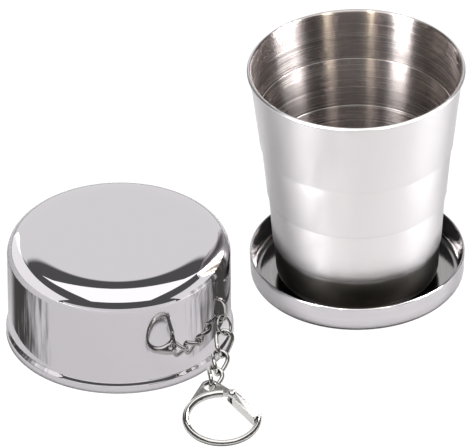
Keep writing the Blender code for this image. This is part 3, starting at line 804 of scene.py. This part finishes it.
def area_light(name, back, distance, size, radiance, receivers, blockers=None, colour=(1.0, 1.0, 1.0)):
    """A rectangular light that faces the object from a direction, unseen by the camera itself."""
    data = bpy.data.lights.new(name, "AREA")
    data.shape = "RECTANGLE"
    data.size, data.size_y = size
    data.energy = radiance * math.pi * data.size * data.size_y
    data.color = colour
    light = bpy.data.objects.new(name, data)
    bpy.context.scene.collection.objects.link(light)
    light.location = CAMERA_AIM + back * distance
    light.rotation_mode = "QUATERNION"
    light.rotation_quaternion = (-back).to_track_quat("-Z", "Y")
    light.visible_camera = False
    light.light_linking.receiver_collection = receivers
    light.light_linking.blocker_collection = blockers


def build_lights(groups):
    """Each light falls on one group of pieces, as if each group had been lit by itself."""
    for name, azimuth, elevation, distance, width, height, radiance, group in SOFTBOXES:
        back = towards(azimuth, elevation)
        area_light(name, back, distance, (width, height), radiance, groups[group])
    for azimuth, width, height, radiance, warmth, lights_floor in STRIPS:
        size = [2 * STRIP_DISTANCE * math.tan(math.radians(angle / 2)) for angle in (width, height)]
        colour = (1.0, 1.0 - 0.3 * warmth, 1.0 - warmth)
        receivers = groups["cup_and_floor"] if lights_floor else groups["cup"]
        back = towards(azimuth, STRIP_ELEVATION)
        area_light("strip", back, STRIP_DISTANCE, size, radiance, receivers, groups["cup"], colour)


def light_groups(floor):
    """Collections of the pieces that share their lights."""
    names = ("cup", "cup_and_floor", "lid", "lid_and_hook")
    groups = {name: bpy.data.collections.new(name) for name in names}
    for node, piece in fine_pieces:
        if node in CUP_NODES:
            members = ("cup", "cup_and_floor")
        elif node == "lid_shell":
            members = ("lid", "lid_and_hook")
        else:
            members = ("lid_and_hook",)
        for name in members:
            groups[name].objects.link(piece)
    groups["cup_and_floor"].objects.link(floor)
    return groups


def build_camera():
    data = bpy.data.cameras.new("camera")
    data.lens = CAMERA_LENS
    data.sensor_width = 36.0
    camera = bpy.data.objects.new("camera", data)
    bpy.context.scene.collection.objects.link(camera)
    bpy.context.scene.camera = camera
    ahead = Vector((0.0, math.cos(CAMERA_ELEVATION), -math.sin(CAMERA_ELEVATION)))
    up = Vector((0.0, math.sin(CAMERA_ELEVATION), math.cos(CAMERA_ELEVATION)))
    right = Vector((1.0, 0.0, 0.0))
    turn = Matrix((right, up, -ahead)).transposed() @ Matrix.Rotation(-CAMERA_ROLL, 3, "Z")
    place = Matrix.Translation(CAMERA_AIM - ahead * CAMERA_DISTANCE)
    camera.matrix_world = place @ turn.to_4x4()


bpy.context.scene.view_settings.view_transform = "Standard"

SATIN = (0.72, 0.695, 0.71)
NICKEL = (0.66, 0.64, 0.62)
# Insides: darker colours that are painted shade, then their roughness, anisotropy and lines
cup_inside_shaded = ((0.39, 0.355, 0.345), (0.48, 0.44, 0.43), 0.25, 1.0, 1.1)
dish_inside_shaded = ((0.36, 0.345, 0.35), (0.42, 0.40, 0.405), 0.12, 0.5, 0.3)
# Level faces: darker colours that are painted shade, their roughness, and where they begin
rims_shaded = ((0.34, 0.32, 0.31), 0.35, 0.3)
plate_faces_shaded = ((0.38, 0.37, 0.36), 0.25, 0.85)
gate_faces_shaded = ((0.62, 0.60, 0.59), 0.25, 0.85)
# the brushed steel darkens where parts stand close: painted shade
brushed = {"roughness": 0.3, "lines": 0.05, "anisotropy": 0.58, "corner_shade": (0.97, 20.0 * MM, 0.7, 0.48)}
satin = steel("satin_steel", SATIN, **brushed, inside=cup_inside_shaded)
# the lower stages take painted shade on their level rims and towards their feet
nested = steel("satin_steel_stage", SATIN, **brushed, inside=cup_inside_shaded, shaded_flats=rims_shaded,
               foot_shade=(12.5 * MM, 16.5 * MM, 0.94))
polished = steel("dish_steel", (0.62, 0.60, 0.62), roughness=0.11, lines=0.3, anisotropy=0.5,
                 # the dish darkens in its corners and inside: painted shade
                 corner_shade=(0.7, 10.0 * MM, 0.75, 0.2), inside=dish_inside_shaded)
mirror = steel("mirror_steel", (0.63, 0.605, 0.635), roughness=0.03, lines=0.02, wobble=0.003 * MM)
# the nickel darkens where wires and parts meet: painted shade
nickel = steel("nickel", NICKEL, roughness=0.05, lines=0.2, corner_shade=(0.95, 4.0 * MM, 0.8, 0.25))
plate_nickel = steel("plate_nickel", NICKEL, roughness=0.06, lines=0.3, shaded_flats=plate_faces_shaded)
gate_nickel = steel("gate_nickel", (0.74, 0.72, 0.70), roughness=0.06, lines=0.3, shaded_flats=gate_faces_shaded)

build_cup(satin, nested, polished, mirror)
build_chain(nickel)
build_hook(nickel, plate_nickel, gate_nickel)

build_camera()
build_world()
build_lights(light_groups(build_floor()))
shade_flag_look = make_shade_flag_look()
# dark cards of painted shade, seen only in the lid's reflections
for placement in SHADE_FLAGS:
    build_shade_flag(*placement, shade_flag_look)
